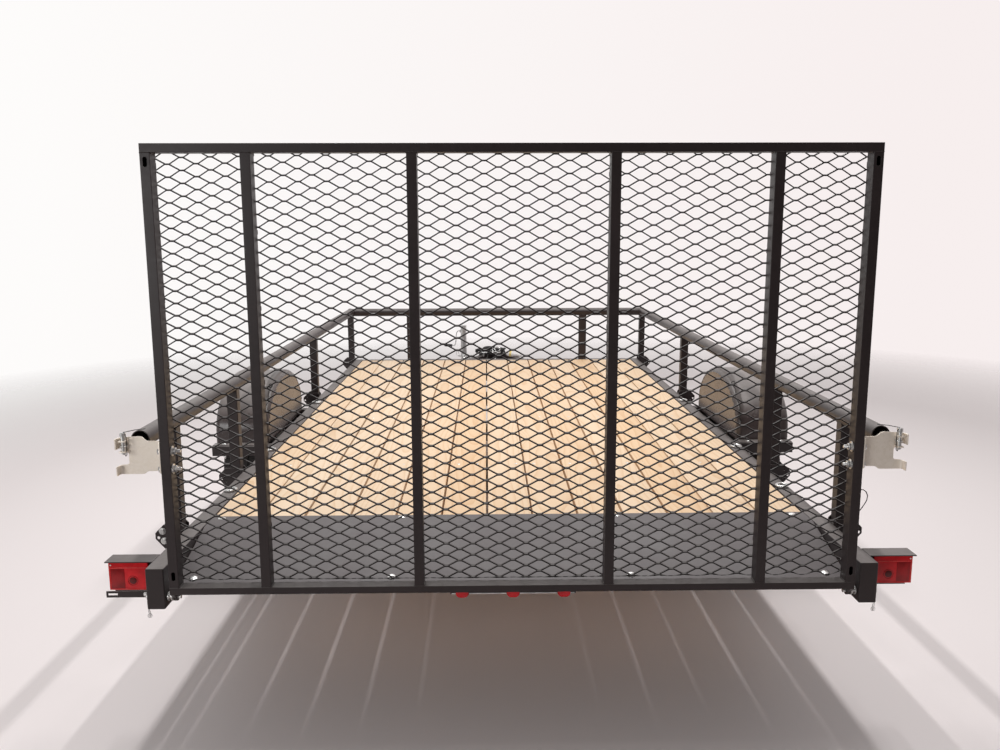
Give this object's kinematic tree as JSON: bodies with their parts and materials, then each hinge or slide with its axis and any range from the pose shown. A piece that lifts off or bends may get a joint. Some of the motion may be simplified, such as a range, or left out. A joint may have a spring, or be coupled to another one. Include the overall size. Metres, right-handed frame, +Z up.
{
  "type": "single-axle utility trailer with ramp gate",
  "caption": "Wood-decked single-axle utility trailer with pipe side rails, round fenders, an upright mesh ramp gate and an A-frame tongue with a jack.",
  "frame": {"origin": "on the floor under the middle of the whole trailer, tongue included", "axes": "+X to the trailer's right, +Y forwards to the hitch, +Z up"},
  "size_m": [2.41, 5.0382, 1.62],
  "materials": {
    "black_frame": "satin black powder coat",
    "deck_wood": "new pine boards, planed",
    "plate_steel": "satin black powder coat on smooth sheet",
    "mesh_steel": "black powder coat on expanded steel",
    "fender_steel": "semi-gloss black paint",
    "zinc": "bright zinc plate",
    "zinc_yellow": "yellowish zinc plate",
    "jack_steel": "pale grey zinc coat",
    "grip": "black grip",
    "tyre": "black rubber",
    "rim_paint": "silver wheel paint",
    "axle_steel": "black paint",
    "spring_steel": "black paint on spring steel",
    "lens_red": "red lens",
    "lamp_body": "black lamp body"
  },
  "bodies": {
    "trailer_frame": {"front_member": "black_frame", "rear_beam": "black_frame", "deck_crossmembers": "black_frame", "deck_boards": "deck_wood", "tail_plate": "plate_steel", "coupler": "black_frame", "coupler_latch": "zinc", "jack_mount": "black_frame", "front_rail": "black_frame", "front_posts": "black_frame", "axle": "axle_steel", "leaf_springs": "spring_steel", "spring_hangers": "black_frame", "axle_clamps": "zinc", "fender_outriggers": "black_frame", "hinge_pins": "zinc", "rail_straps": "zinc", "lamp_lenses": "lens_red", "lamp_housings": "lamp_body", "plate_bracket": "black_frame", "marker_bar": "black_frame", "side_posts": "black_frame", "post_brackets": "black_frame", "lamp_guards": "black_frame", "marker_lenses": "lens_red", "tie_downs": "zinc", "side_member_left": "black_frame", "tongue_beam_left": "black_frame", "side_rail_left": "black_frame", "fender_left": "fender_steel", "side_member_right": "black_frame", "tongue_beam_right": "black_frame", "side_rail_right": "black_frame", "fender_right": "fender_steel"},
    "ramp_gate": {"gate_crossbars": "black_frame", "gate_uprights": "black_frame", "gate_mesh": "mesh_steel", "gate_lugs": "black_frame", "latch_pins": "zinc", "latch_plates": "zinc_yellow"},
    "wheel_left": {"hub_left": "axle_steel", "wheel_rim_left": "rim_paint", "tyre_left": "tyre"},
    "wheel_right": {"hub_right": "axle_steel", "wheel_rim_right": "rim_paint", "tyre_right": "tyre"},
    "jack": {"jack_tube": "jack_steel", "jack_crank": "grip"},
    "jack_foot": {"jack_leg": "jack_steel"}
  },
  "joints": [
    {"name": "wheel_left_spin", "type": "hinge", "parent": "trailer_frame", "child": "wheel_left", "pos_m": [-1.093, -0.8011, 0.34], "axis": [1, 0, 0], "continuous": true},
    {"name": "wheel_right_spin", "type": "hinge", "parent": "trailer_frame", "child": "wheel_right", "pos_m": [1.093, -0.8011, 0.34], "axis": [1, 0, 0], "continuous": true},
    {"name": "ramp_gate_fold", "type": "hinge", "parent": "trailer_frame", "child": "ramp_gate", "pos_m": [0, -2.4861, 0.451], "axis": [1, 0, 0], "range_deg": [0, 111]},
    {"name": "jack_swivel", "type": "hinge", "parent": "trailer_frame", "child": "jack", "pos_m": [-0.25151, 2.12516, 0.385], "axis": [-0.9063, 0.4226, 0], "range_deg": [0, 90]},
    {"name": "jack_leg_slide", "type": "slide", "parent": "jack", "child": "jack_foot", "axis": [0, 0, 1], "range_m": [0, 0.2]}
  ]
}
